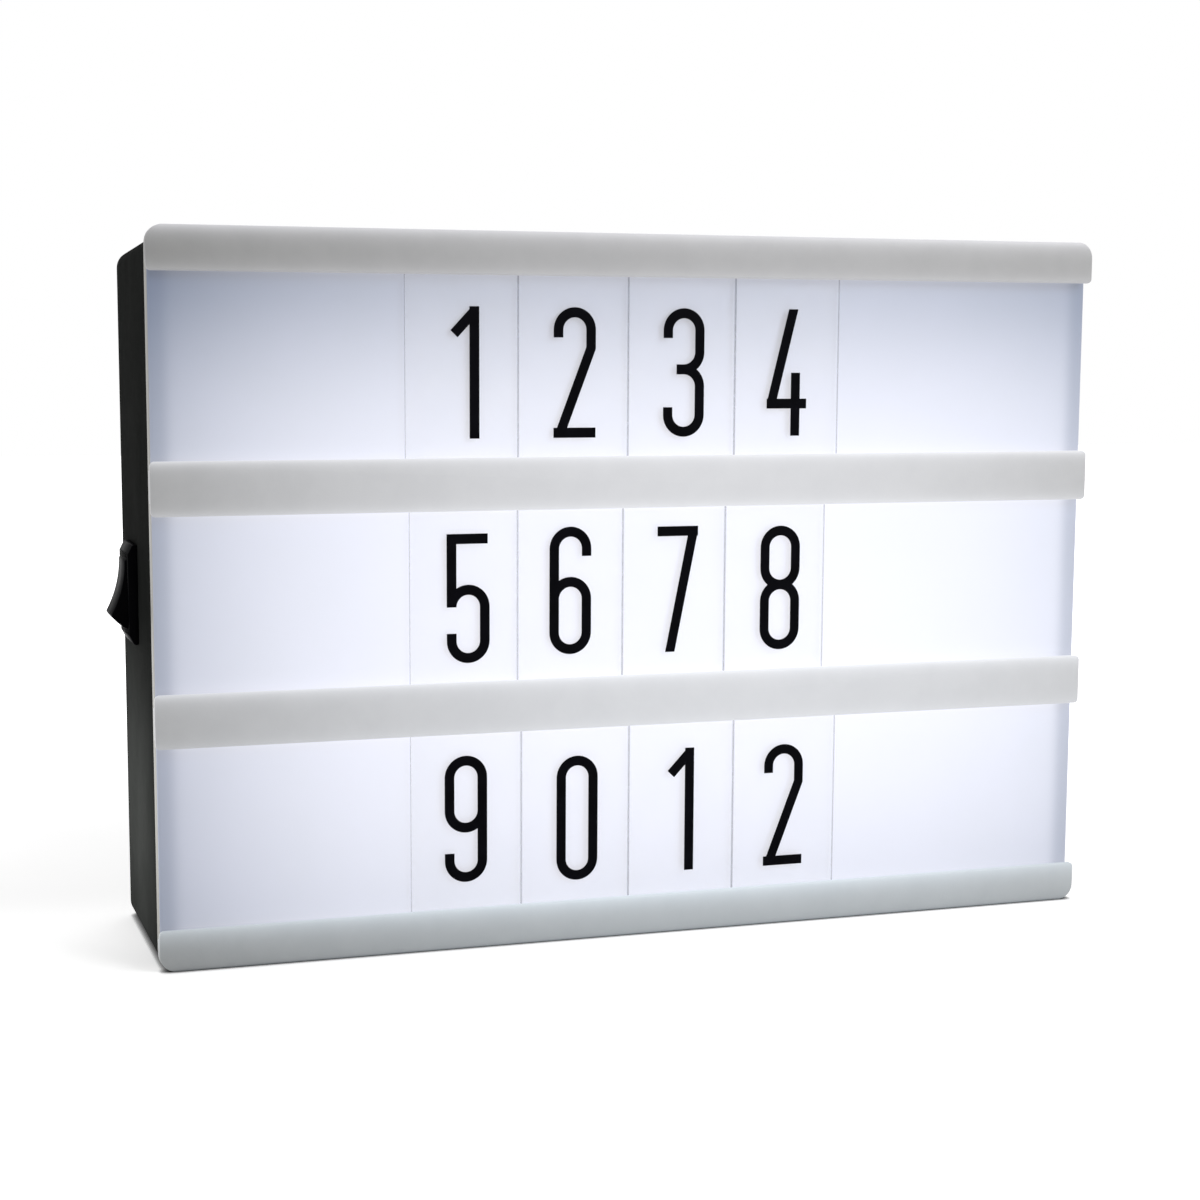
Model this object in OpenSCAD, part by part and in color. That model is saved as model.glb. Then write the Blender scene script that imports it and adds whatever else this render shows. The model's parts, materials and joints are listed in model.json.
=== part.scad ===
// Cinema light box: a slim standing box with a lit opal front, four rails that hold
// clear number tiles in three rows, a rocker switch in the left side, and three round
// cells behind a hinged door in the back.
// X runs along the width, Y from front to back and Z up. The origin is the middle of
// the base. Depths, written d, are measured back from the front faces of the rails.

/* [Box] */
// Width over the front shell
box_w = 210; // [190:1:260]
// Height of the box
box_h = 149; // [140:1:175]
// Depth from the rail faces to the back
box_d = 54; // [52:1:75]
// Radius of the outer corners
corner_r = 3.5; // [2.5:0.5:6]
// Step from the shell's top down to the case's top
top_step = 1.3; // [0:0.1:2]
// Wall of the rear case
case_wall = 2; // [1.6:0.1:2.6]
// Amount by which the case sides and top draw in towards the back
draft_in = 1.5; // [0.5:0.25:2.5]
// Rounding of the rear edge
rear_edge_r = 2.5; // [1:0.5:4]

/* [Front shell] */
// Thickness of the opal panel
panel_t = 2; // [1.5:0.1:3]
// Depth of the shell's side behind the panel's face
shell_side_d = 3.5; // [3:0.25:6]
// Depth of the tongue that enters the case
tongue_d = 3; // [2:0.25:5]
// Thickness of the tongue
tongue_t = 1.2; // [0.8:0.1:2]
// Gap between tongue and case
tongue_gap = 0.2; // [0.1:0.05:0.4]

/* [Rails] */
// Distance that the rails stand in front of the panel
rail_proud = 2.5; // [2.3:0.1:4]
// Height of the top and bottom rails
end_rail_h = 8.5; // [7.5:0.25:11]
// Height of the two middle rails
mid_rail_h = 11; // [9:0.25:14]
// Distance between the centre lines of the middle rails
rail_pitch = 46.6; // [45:0.2:47.6]
// Thickness of the lip in front of a tile
rail_lip_t = 1; // [0.8:0.05:1.2]
// Rounding of the rail's front edges
rail_edge_r = 0.5; // [0.2:0.05:0.5]
// Rounding of the ends of the middle rails
rail_end_r = 1; // [0.2:0.1:2]
// Distance that the rails stand out past the shell's sides and top
rail_overhang = 0.5; // [0.1:0.05:0.6]

/* [Tiles] */
// Height of a tile
tile_h = 40.4; // [39.6:0.1:41.6]
// Thickness of a tile
tile_t = 0.8; // [0.5:0.05:0.9]
// Width of a tile in the top and bottom rows
wide_tile_w = 24.15; // [20:0.05:25]
// Width of a tile in the middle row
narrow_tile_w = 23.3; // [20:0.05:25]
// Gap between two tiles
tile_gap = 0.2; // [0.15:0.05:0.5]
// Play above and below a tile in its grooves
tile_play = 0.2; // [0.15:0.05:0.4]
// Left end of the word in the top row
top_start_x = -53.05; // [-60:0.05:-45]
// Left end of the word in the middle row
mid_start_x = -52.3; // [-60:0.05:-45]
// Left end of the word in the bottom row
low_start_x = -52.3; // [-60:0.05:-45]

/* [Switch] */
// Depth of the switch's centre
switch_d = 33.5; // [28:0.5:36]
// Height of the switch's centre above the middle of the box
switch_up = -0.1; // [-3:0.1:5]
// Length of the bezel
bezel_l = 21; // [20.4:0.2:24]
// Width of the bezel
bezel_w = 15; // [14.4:0.2:17]
// Thickness of the bezel
bezel_t = 2; // [1.5:0.1:2.4]
// Length of the bevel at each end of the bezel
bezel_bevel_l = 2; // [1:0.1:2]
// Depth of the bevel at each end of the bezel
bezel_bevel_t = 1; // [0.5:0.1:1.2]
// Length of the body behind the bezel
body_l = 19; // [18.6:0.1:19.4]
// Width of the body behind the bezel
body_w = 13.4; // [13.2:0.1:13.8]
// Depth of the body behind the bezel
body_d = 13.5; // [13.2:0.1:15]
// Floor of the body
body_floor = 1.5; // [1:0.1:1.6]
// Radius from the pivot to the ends of the rocker
rocker_r = 8.15; // [7.8:0.05:8.3]
// Width of the rocker
rocker_w = 10.6; // [10:0.1:10.8]
// Depth of the pivot below the outside of the case
pivot_deep = 1.5; // [1.2:0.1:2]
// Height of the middle of the rocker's face above the pivot
face_rise = 4.8; // [4.4:0.1:5.2]
// Radius of the hollow face
face_r = 23.4; // [18:0.2:30]
// Tilt of the rocker to each side
rocker_tilt = 14.4; // [10:0.2:15]
// Tilt of the contact lever to each side
lever_tilt = 8; // [5:0.5:9]
// Radius of the rocker's pivot stubs
trunnion_r = 1.5; // [1.2:0.05:1.6]
// Play round the rocker
rocker_play = 0.2; // [0.15:0.05:0.3]
// Running play of a small pin in its hole
pin_play = 0.1; // [0.05:0.01:0.1]
// Width of a terminal blade
blade_w = 4.8; // [4:0.1:5.2]
// Thickness of a terminal blade
blade_t = 0.8; // [0.6:0.05:0.9]
// Length of a terminal blade outside the body
blade_out = 8; // [6:0.5:10]

/* [Cells] */
// Diameter of a cell
cell_dia = 14.2; // [13.8:0.1:14.5]
// Length of a cell's can
cell_can_l = 49.3; // [48:0.1:49.5]
// Length of the cell's positive button
button_l = 1.2; // [1:0.1:1.5]
// Diameter of the positive button
button_dia = 5.3; // [4.5:0.1:5.5]
// Number of cells
cell_count = 3; // [3:1:3]
// Play between a cell and the bay
cell_play = 0.4; // [0.3:0.05:0.8]
// Distance between the axes of two cells
cell_pitch = 15.2; // [15:0.1:16.5]
// Length of the bay
bay_l = 58; // [57:0.5:64]
// Wall of the bay
bay_wall = 2; // [1.6:0.1:2.4]
// Height of the bay's lower inside above the base
bay_z = 12; // [10:0.5:16]
// Thickness of a contact plate
plate_t = 0.4; // [0.3:0.05:0.6]
// Side of a contact plate
plate_w = 11; // [9:0.5:12]
// Wire of a contact spring
spring_wire = 0.7; // [0.5:0.05:0.9]
// Turns of a contact spring
spring_turns = 4; // [3:1:5]

/* [Battery door] */
// Thickness of the door
door_t = 1.85; // [1.6:0.05:1.9]
// Gap round the door
door_gap = 0.3; // [0.25:0.05:0.5]
// Width of the ledge that the door lies on
ledge_w = 1.2; // [1:0.1:1.4]
// Radius of the hinge barrel
barrel_r = 1.5; // [1.3:0.05:1.6]
// Radius of the hinge pins
hinge_pin_r = 0.8; // [0.6:0.05:0.9]
// Reach of a hinge pin into its ear
hinge_pin_reach = 1.2; // [0.8:0.1:1.6]

/* [Light] */
// Distance from a side of the box to the ends of the light boards
board_in = 20; // [18:1:24]
// Width of a light board
board_w = 8; // [6:0.5:10]
// Thickness of a light board
board_t = 1.2; // [0.8:0.1:1.6]
// Distance from the end of a board to its first lamp
lamp_in = 10; // [9:0.5:14]
// Number of lamps on a board
lamp_count = 6; // [4:1:6]
// Thickness of the reflector sheet
sheet_t = 0.8; // [0.5:0.1:1.2]
// Gap between the reflector and the battery bay
sheet_behind = 1; // [0.4:0.1:2]
// Gap round the reflector
sheet_gap = 0.5; // [0.3:0.1:1]

/* [Fixings] */
// Distance of the case screws from the sides
screw_in_x = 12; // [11:0.5:16]
// Distance of the case screws from the top and the base
screw_in_z = 12; // [10:0.5:16]
// Radius of the screw thread
screw_r = 1.45; // [1.2:0.05:1.6]
// Length of the screw shank
screw_l = 10; // [8:0.5:11]
// Radius of the screw head
screw_head_r = 2.6; // [2.4:0.05:2.7]
// Radius of the screw well
well_r = 2.8; // [2.75:0.05:3.2]
// Depth at which the screw posts meet the case pillars
post_end_d = 16; // [14:0.5:20]
// Distance between the two keyholes
keyhole_span = 120; // [100:1:130]
// Height of the keyholes below the top
keyhole_drop = 24; // [22:0.5:30]
// Radius of the keyhole's round entry
keyhole_r = 4; // [3.6:0.1:4.4]
// Radius of the keyhole's narrow slot
keyslot_r = 2.1; // [1.6:0.1:2.4]
// Travel from the round entry to the end of the slot
keyslot_rise = 7; // [6:0.5:9]

/* [Power inlet] */
// Place of the inlet along the width
inlet_x = 62; // [56:0.5:70]
// Height of the inlet
inlet_z = 26; // [22:0.5:32]
// Side of the inlet's body
inlet_body_w = 11; // [10:0.2:12]
// Depth of the inlet's body
inlet_body_d = 12; // [11:0.5:13]
// Radius of the inlet's nose
inlet_nose_r = 4; // [3.8:0.05:4.4]
// Radius of the socket
socket_r = 3; // [2.7:0.05:3.1]
// Depth of the socket
socket_deep = 9.5; // [8:0.5:10]
// Radius of the centre pin
centre_pin_r = 1; // [0.8:0.05:1.2]

/* [Wires] */
// Radius of a wire over its sleeve
wire_r = 0.65; // [0.5:0.05:0.8]

/* [Hidden] */

smooth = 64;
hull_fn = 32;
over = 1;

seam_d = rail_proud + shell_side_d;
panel_back_d = rail_proud + panel_t;
wall_in_d = box_d - case_wall;
case_len = box_d - seam_d;
case_h = box_h - top_step;
side_tilt = atan(draft_in / case_len);

mid_z = box_h / 2;
mid_row_open = rail_pitch - mid_rail_h;
outer_row_open = mid_z - rail_pitch / 2 - mid_rail_h / 2 - end_rail_h;
slot_h = tile_h + 2 * tile_play;
mid_lip = (slot_h - mid_row_open) / 2;
outer_lip = (slot_h - outer_row_open) / 2;
rail_l = box_w + 2 * rail_overhang;
low_row_z = end_rail_h + outer_row_open / 2;
top_row_z = box_h - low_row_z;
tile_front_d = (rail_lip_t + rail_proud - tile_t) / 2;

switch_z = mid_z + switch_up;
cavity_l = 2 * (rocker_r + rocker_play);
cavity_w = rocker_w + 2 * rocker_play;
body_play = 0.2;
seat_gap = 0.05;
catch_proud = 0.8;
catch_l = 3.8;
catch_w = 6;
catch_gap = 0.15;
blade_play = 0.1;
plunger_r = 0.95;
plunger_reach = 7.2;
plunger_start = 2.6;
stem_r = 1.9;
stem_reach = 4.6;
rocker_skirt = 1.2;
trunnion_l = 0.8;
lever_gap = 0.15;
lever_t = 0.8;
lever_l = 12;
lever_w = 4;
bead_r = 0.35;
lever_u = -pivot_deep - plunger_reach - lever_gap - lever_t;
contact_v = -7;
contact_pad_l = 3.4;
blade_end_u = -body_d - blade_out;

bay_floor_d = wall_in_d - cell_dia - 2 * cell_play;
hinge_room = 1.2;
bay_h = (cell_count - 1) * cell_pitch + cell_dia + 2 * cell_play + hinge_room;
bay_top_z = bay_z + bay_h;
cell_axis_d = bay_floor_d + cell_play + cell_dia / 2;
door_d = box_d - door_t;
hinge_d = box_d - barrel_r;
hinge_z = bay_top_z - barrel_r - door_gap;
opening_half = bay_l / 2 + ledge_w;
barrel_half = bay_l / 2 - cell_play;
ear_w = 2.8;
ear_d = 2;
ear_half_h = 3;
plate_back = 0.1;
dimple_l = 1;
dimple_r = 2.5;
plate_face_x = bay_l / 2 - plate_back - plate_t;
contact_touch = 0.1;
cell_button_x = plate_face_x - dimple_l - contact_touch;
cell_flat_x = cell_button_x - button_l - cell_can_l;
spring_l = plate_face_x + cell_flat_x - contact_touch;
spring_base_r = 4.4;
spring_tip_r = 2.2;
tab_l = 9;
tab_w = 3;
tab_slot_play = 0.2;
latch_w = 12;
latch_t = 1;
latch_reach = 2.3;
scoop_w = 16;
scoop_h = 5;
scoop_deep = 1.2;

sheet_back_d = bay_floor_d - bay_wall - sheet_behind;
sheet_d = sheet_back_d - sheet_t;
board_d = sheet_d - board_t;
board_l = box_w - 2 * board_in;
lamp_pitch = (board_l - 2 * lamp_in) / (lamp_count - 1);
lamp_l = 3.5;
lamp_w = 2.8;
lamp_t = 0.8;
resistor_l = 3.2;
resistor_w = 1.6;
resistor_t = 0.6;
resistor_in = 6;
post_r = 3;
peg_r = 1.2;
peg_proud = 0.6;
hole_play = 0.1;
sheet_post_in = 27;
sheet_post_up = 9.2;
sheet_post_x = box_w / 2 - sheet_post_in;
sheet_post_z = rail_pitch / 2 + sheet_post_up;
notch_room = 12.5;
notch_half_h = 12;
wire_hole_r = 2.5;
wire_hole_in = 15;
wire_hole_drop = 12.5;
wire_hole_x = box_w / 2 - wire_hole_in;
wire_hole_z = mid_z - wire_hole_drop;

pillar_r = 4.25;
pillar_floor = 2;
pillar_play = 0.3;
post_pilot_end_d = panel_back_d + 1.5;
pilot_play = 0.05;
screw_play = 0.15;
head_t = 1.8;
recess_w = 0.6;
recess_deep = 1;
pocket_extra = 1.5;
pocket_deep = 4.5;
pocket_wall = 1.5;
inlet_play = 0.15;
cradle_t = 1.5;
cradle_d = 6;

board_z_low = mid_z - rail_pitch / 2;
board_z_high = mid_z + rail_pitch / 2;

blade_x = -(box_w / 2 - inset_at(switch_d)) - blade_end_u * cos(side_tilt);
blade_d = switch_d + blade_end_u * sin(side_tilt);
tab_x = plate_face_x + tab_l;
end_gap = 0.25;
tab_edge = tab_w / 2 + end_gap;
board_face = board_d - end_gap;
blade_face = blade_x + end_gap;
inlet_face_d = wall_in_d - inlet_body_d - end_gap;
lane_d = (sheet_back_d + wall_in_d) / 2;
bay_side = bay_l / 2 + bay_wall;
bay_over = bay_top_z + bay_wall;
plus_x = -tab_x + 2;
plus_z = cell_z(cell_count - 1) + tab_edge;
minus_x = tab_x - 2;
minus_z = cell_z(0) + tab_edge;
link_left_x = -board_l / 2 + lamp_in + 5;
link_right_x = board_l / 2 - lamp_in + 5;

// Distance by which the case has drawn in at depth d
function inset_at(d) = draft_in * (d - seam_d) / case_len;
// Outer face of the left side at depth d
function left_x(d) = -(box_w / 2 - inset_at(d));
// Height of the axis of cell i
function cell_z(i) = bay_z + cell_play + cell_dia / 2 + i * cell_pitch;
// Centre of tile i in a row
function tile_x(start, w, i) = start + w / 2 + i * (w + tile_gap);

// Sets a piece drawn from the rail faces into the part's frame
module from_front() {
    translate([0, -box_d / 2, 0]) children();
}

// Stands a flat shape up in XZ, between two depths
module slab(d0, d1) {
    translate([0, d1, 0]) rotate([90, 0, 0]) linear_extrude(d1 - d0) children();
}

// Rectangle with round corners, centred along X and standing on the X axis
module round_rect(w, h, r) {
    translate([-w / 2, r]) square([w, h - 2 * r]);
    translate([-w / 2 + r, 0]) square([w - 2 * r, h]);
    for (x = [-w / 2 + r, w / 2 - r], y = [r, h - r]) {
        translate([x, y]) circle(r = r);
    }
}

// Upright slot with round ends, drawn upwards from the centre of its lower end
module upright_slot(r, rise) {
    circle(r = r);
    translate([0, rise]) circle(r = r);
    translate([-r, 0]) square([2 * r, rise]);
}

// Cylinder along Y between two depths
module bar_y(r, d0, d1) {
    translate([0, d1, 0]) rotate([90, 0, 0]) cylinder(r = r, h = d1 - d0, $fn = smooth);
}

// Cylinder along X between two places
module bar_x(r, x0, x1) {
    translate([x0, 0, 0]) rotate([0, 90, 0]) cylinder(r = r, h = x1 - x0, $fn = smooth);
}

// Block between two corners
module block(low, high) {
    translate(low) cube(high - low);
}

// Outline of the case, drawn in from the sides and the top but flat at the base
module case_slice(d, inset, grow, r) {
    slab(d, d + 0.01) translate([0, -grow]) {
        round_rect(box_w - 2 * inset + 2 * grow, case_h - inset + 2 * grow, r, $fn = hull_fn);
    }
}

// Places children at the four case screws
module at_screws() {
    for (x = [-1, 1], z = [screw_in_z, box_h - screw_in_z]) {
        translate([x * (box_w / 2 - screw_in_x), 0, z]) children();
    }
}

// Places children at the four posts of the reflector
module at_sheet_posts() {
    for (x = [-sheet_post_x, sheet_post_x], z = [-sheet_post_z, sheet_post_z]) {
        translate([x, 0, mid_z + z]) children();
    }
}

// Places children at the two keyholes
module at_keyholes() {
    for (x = [-1, 1]) {
        translate([x * keyhole_span / 2, 0, box_h - keyhole_drop]) children();
    }
}

// Switch frame: X points out of the left side, Y to the front, Z up
module at_switch() {
    translate([left_x(switch_d), switch_d, switch_z]) rotate([0, 0, 180 - side_tilt]) children();
}

// Rocker frame: the switch frame moved to the pivot and turned to the rest tilt
module at_rocker() {
    at_switch() translate([-pivot_deep, 0, 0]) rotate([0, -rocker_tilt, 0]) children();
}

// Flat shape in the switch's XZ plane, w wide and centred
module switch_slab(w) {
    translate([0, w / 2, 0]) rotate([90, 0, 0]) linear_extrude(w) children();
}

function unit(v) = v / norm(v);
function spline_at(a, b, c, e, t) = 0.5 * (2 * b + (c - a) * t
    + (2 * a - 5 * b + 4 * c - e) * t * t + (3 * b - a - 3 * c + e) * t * t * t);
// Smooth curve through the points, with n steps between two of them
function smooth_path(p, n) = let (last = len(p) - 1) concat(
    [for (i = [0 : last - 1], s = [0 : n - 1])
        spline_at(p[max(i - 1, 0)], p[i], p[i + 1], p[min(i + 2, last)], s / n)],
    [p[last]]);
function tangents(p) = [for (i = [0 : len(p) - 1])
    unit(p[min(i + 1, len(p) - 1)] - p[max(i - 1, 0)])];
// Normals carried along the path without twist
function carried(n, t, i) = i == len(t) ? [] :
    let (m = unit(n - (n * t[i]) * t[i])) concat([m], carried(m, t, i + 1));
function first_normal(t) = abs(t[2]) < 0.9 ? cross(t, [0, 0, 1]) : cross(t, [1, 0, 0]);

// Round tube along a path
module tube(path, r, sides) {
    t = tangents(path);
    n = carried(first_normal(t[0]), t, 0);
    rings = len(path);
    points = [for (i = [0 : rings - 1], k = [0 : sides - 1])
        path[i] + r * (cos(360 * k / sides) * n[i] + sin(360 * k / sides) * cross(t[i], n[i]))];
    walls = [for (i = [0 : rings - 2], k = [0 : sides - 1]) let (j = (k + 1) % sides) each [
        [i * sides + k, (i + 1) * sides + k, (i + 1) * sides + j],
        [i * sides + k, (i + 1) * sides + j, i * sides + j]]];
    caps = concat(
        [for (k = [1 : sides - 2]) [0, k, k + 1]],
        [for (k = [1 : sides - 2]) let (e = (rings - 1) * sides) [e, e + k + 1, e + k]]);
    polyhedron(points, concat(walls, caps));
}

// Wire through hand-chosen points
module wire(points) {
    tube(smooth_path(points, 3), wire_r, 8);
}

// ---- case and shell

module case_shell() {
    round_steps = [0, 22.5, 45, 67.5, 90];
    difference() {
        hull() {
            case_slice(seam_d, 0, 0, corner_r);
            for (a = round_steps) {
                d = box_d - 0.01 - rear_edge_r * (1 - sin(a));
                pull = rear_edge_r * (1 - cos(a));
                slab(d, d + 0.01) translate([0, pull]) round_rect(
                    box_w - 2 * inset_at(d) - 2 * pull, case_h - inset_at(d) - 2 * pull,
                    corner_r, $fn = hull_fn);
            }
        }
        hull() {
            case_slice(seam_d - 0.01, 0, -case_wall, corner_r - case_wall + 0.5);
            case_slice(wall_in_d - 0.01, inset_at(wall_in_d), -case_wall, corner_r - case_wall + 0.5);
        }
    }
}

module bay_outside() {
    half = bay_l / 2 + bay_wall;
    block([-half, bay_floor_d - bay_wall, bay_z - bay_wall], [half, wall_in_d, bay_top_z + bay_wall]);
    for (side = [-1, 1]) {
        translate([side * (opening_half + ear_w / 2), 0, hinge_z]) block(
            [-ear_w / 2, wall_in_d - ear_d, -ear_half_h], [ear_w / 2, wall_in_d, ear_half_h]);
    }
}

module bay_cuts() {
    half = bay_l / 2;
    block([-half, bay_floor_d, bay_z], [half, box_d + over, bay_top_z]);
    block([-opening_half, wall_in_d, bay_z - ledge_w], [opening_half, box_d + over, bay_top_z]);
    translate([0, hinge_d, hinge_z]) {
        bar_x(barrel_r + door_gap, -opening_half, opening_half);
        bar_x(hinge_pin_r + pin_play, -opening_half - hinge_pin_reach - door_gap,
            opening_half + hinge_pin_reach + door_gap);
    }
    for (end = [[-1, cell_count - 1], [1, 0]]) {
        play = tab_slot_play;
        translate([end[0] * (half + bay_wall / 2), cell_axis_d, cell_z(end[1])]) block(
            [-bay_wall / 2 - over, -plate_t / 2 - play, -tab_w / 2 - play],
            [bay_wall / 2 + over, plate_t / 2 + play, tab_w / 2 + play]);
    }
    block([-scoop_w / 2, box_d - scoop_deep, bay_z - ledge_w - scoop_h],
        [scoop_w / 2, box_d + over, bay_z - ledge_w + 0.01]);
}

module keyhole_pocket() {
    slab(wall_in_d - pocket_deep - pocket_wall, wall_in_d) {
        upright_slot(keyhole_r + pocket_extra + pocket_wall, keyslot_rise, $fn = smooth);
    }
}

module keyhole_cuts() {
    slab(wall_in_d - pocket_deep, wall_in_d) {
        upright_slot(keyhole_r + pocket_extra, keyslot_rise, $fn = smooth);
    }
    bar_y(keyhole_r, wall_in_d - over, box_d + over);
    slab(wall_in_d - over, box_d + over) upright_slot(keyslot_r, keyslot_rise, $fn = smooth);
}

module inlet_cradle() {
    half = inlet_body_w / 2 + inlet_play;
    difference() {
        block([-half - cradle_t, wall_in_d - cradle_d, -half - cradle_t],
            [half + cradle_t, wall_in_d, half + cradle_t]);
        block([-half, wall_in_d - cradle_d - over, -half], [half, wall_in_d + over, half]);
    }
}

module rear_case() {
    color("#262827") from_front() difference() {
        union() {
            case_shell();
            at_screws() bar_y(pillar_r, post_end_d, wall_in_d);
            at_sheet_posts() {
                bar_y(post_r, sheet_back_d, wall_in_d);
                bar_y(peg_r, sheet_d - peg_proud, wall_in_d);
            }
            bay_outside();
            at_keyholes() keyhole_pocket();
            translate([inlet_x, 0, inlet_z]) inlet_cradle();
        }
        at_screws() {
            bar_y(well_r, post_end_d + pillar_floor, box_d + over);
            bar_y(screw_r + screw_play, post_end_d - over, box_d);
        }
        bay_cuts();
        at_keyholes() keyhole_cuts();
        translate([inlet_x, 0, inlet_z]) bar_y(inlet_nose_r + inlet_play, wall_in_d - over, box_d + over);
        at_switch() block(
            [-case_wall - over, -body_w / 2 - body_play, -body_l / 2 - body_play],
            [over, body_w / 2 + body_play, body_l / 2 + body_play]);
    }
}

module front_shell() {
    tongue_end_d = seam_d + tongue_d;
    tongue_in = case_wall + inset_at(tongue_end_d) + tongue_gap;
    inside = tongue_in + tongue_t;
    inner_r = max(corner_r - inside, 0.6);
    color("#e9ecf6") from_front() difference() {
        union() {
            difference() {
                union() {
                    slab(rail_proud, seam_d) round_rect(box_w, box_h, corner_r, $fn = smooth);
                    translate([0, 0, tongue_in]) slab(panel_back_d, tongue_end_d) round_rect(
                        box_w - 2 * tongue_in, case_h - 2 * tongue_in,
                        max(corner_r - tongue_in, inner_r) + tongue_t, $fn = smooth);
                }
                translate([0, 0, inside]) slab(panel_back_d, tongue_end_d + over) round_rect(
                    box_w - 2 * inside, case_h - 2 * inside, inner_r, $fn = smooth);
            }
            at_screws() bar_y(post_r, panel_back_d - 0.01, post_end_d);
        }
        at_screws() bar_y(screw_r + pilot_play, post_pilot_end_d, post_end_d + over);
    }
}

// ---- rails and tiles

// Section of a rail: a web on the panel and a lip over the tiles below and above it
module rail_section(h, lip_low, lip_high) {
    r = rail_edge_r;
    difference() {
        union() {
            translate([r, 0]) square([rail_proud - r, h]);
            translate([0, r]) square([rail_proud, h - 2 * r]);
            for (z = [r, h - r]) {
                translate([r, z]) circle(r = r, $fn = smooth);
            }
        }
        translate([rail_lip_t, -over]) square([rail_proud, lip_low + over]);
        translate([rail_lip_t, h - lip_high]) square([rail_proud, lip_high + over]);
    }
}

module rail(z, h, lip_low, lip_high) {
    color("#cfcfcb") from_front() translate([-rail_l / 2, 0, z]) rotate([90, 0, 90]) {
        linear_extrude(rail_l) rail_section(h, lip_low, lip_high);
    }
}

module end_rail(z, h, lip_low, lip_high) {
    intersection() {
        rail(z, h, lip_low, lip_high);
        from_front() slab(-over, rail_proud + over) {
            round_rect(rail_l, box_h + rail_overhang, corner_r, $fn = smooth);
        }
        from_front() translate([0, 0, z]) slab(-over, rail_proud + over) {
            round_rect(rail_l, h, rail_end_r, $fn = smooth);
        }
    }
}

module mid_rail(centre_z, lip_low, lip_high) {
    z = centre_z - mid_rail_h / 2;
    intersection() {
        rail(z, mid_rail_h, lip_low, lip_high);
        from_front() translate([0, 0, z]) slab(-over, rail_proud + over) {
            round_rect(rail_l, mid_rail_h, rail_end_r, $fn = smooth);
        }
    }
}

module rail_top() {
    end_rail(box_h - end_rail_h, end_rail_h + rail_overhang, outer_lip, 0);
}

module rail_upper() {
    mid_rail(board_z_high, mid_lip, outer_lip);
}

module rail_lower() {
    mid_rail(board_z_low, outer_lip, mid_lip);
}

module rail_bottom() {
    end_rail(0, end_rail_h, 0, outer_lip);
}

module tile(start, w, i, row_z) {
    color("#f4f6fb", 0.4) from_front() translate([tile_x(start, w, i), tile_front_d, row_z]) {
        block([-w / 2, 0, -tile_h / 2], [w / 2, tile_t, tile_h / 2]);
    }
}

module top_tile(i) {
    tile(top_start_x, wide_tile_w, i, top_row_z);
}

module middle_tile(i) {
    tile(mid_start_x, narrow_tile_w, i, mid_z);
}

module bottom_tile(i) {
    tile(low_start_x, wide_tile_w, i, low_row_z);
}

// ---- switch

module bezel_section() {
    half = bezel_l / 2;
    shoulder = half - bezel_bevel_l;
    low = bezel_t - bezel_bevel_t;
    polygon([[seat_gap, -half], [low, -half], [bezel_t, -shoulder],
        [bezel_t, shoulder], [low, half], [seat_gap, half]]);
}

// Pivot stubs of the rocker, or the holes that they turn in
module trunnion(r, reach) {
    rotate([90, 0, 0]) cylinder(r = r, h = rocker_w + 2 * reach, center = true, $fn = smooth);
}

// Ramp that snaps behind the wall, on the +Z end of the body
module snap_catch() {
    top_u = -case_wall - catch_gap;
    switch_slab(catch_w) polygon([[top_u, body_l / 2 - 0.1], [top_u, body_l / 2 + catch_proud],
        [top_u - catch_l, body_l / 2], [top_u - catch_l, body_l / 2 - 0.1]]);
}

module switch_housing() {
    color("#141516") from_front() at_switch() difference() {
        union() {
            switch_slab(bezel_w) bezel_section();
            block([-body_d, -body_w / 2, -body_l / 2], [seat_gap + 0.01, body_w / 2, body_l / 2]);
            snap_catch();
            mirror([0, 0, 1]) snap_catch();
        }
        block([-body_d + body_floor, -cavity_w / 2, -cavity_l / 2],
            [bezel_t + over, cavity_w / 2, cavity_l / 2]);
        translate([-pivot_deep, 0, 0]) trunnion(trunnion_r + pin_play, trunnion_l + rocker_play);
        for (v = [0, contact_v]) {
            translate([0, 0, v]) block(
                [-body_d - over, -blade_w / 2 - blade_play, -blade_t / 2 - blade_play],
                [-body_d + body_floor + over, blade_w / 2 + blade_play, blade_t / 2 + blade_play]);
        }
    }
}

module rocker_section() {
    difference() {
        intersection() {
            circle(r = rocker_r, $fn = 2 * smooth);
            translate([-rocker_skirt, -rocker_r]) square([2 * rocker_r, 2 * rocker_r]);
        }
        translate([face_rise + face_r, 0]) circle(r = face_r, $fn = 3 * smooth);
    }
}

module switch_rocker() {
    color("#101112") from_front() at_rocker() difference() {
        union() {
            switch_slab(rocker_w) rocker_section();
            trunnion(trunnion_r, trunnion_l);
            rotate([0, -90, 0]) cylinder(r = stem_r, h = stem_reach, $fn = smooth);
        }
        rotate([0, -90, 0]) cylinder(r = plunger_r + pin_play, h = stem_reach + over, $fn = smooth);
    }
}

module switch_plunger() {
    round_at = plunger_reach - plunger_r;
    color("#c9a04a") from_front() at_rocker() rotate([0, -90, 0]) {
        translate([0, 0, plunger_start]) cylinder(r = plunger_r, h = round_at - plunger_start, $fn = smooth);
        translate([0, 0, round_at]) sphere(r = plunger_r, $fn = hull_fn);
    }
}

module plunger_spring() {
    turns = 4;
    wire_half = 0.15;
    mean_r = plunger_r - wire_half;
    start = 2 * wire_half;
    rise = plunger_start - pin_play - wire_half - start;
    steps = turns * 10;
    path = [for (i = [0 : steps]) [mean_r * cos(36 * i), mean_r * sin(36 * i), start + rise * i / steps]];
    color("silver") from_front() at_rocker() rotate([0, -90, 0]) tube(path, wire_half, 6);
}

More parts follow.
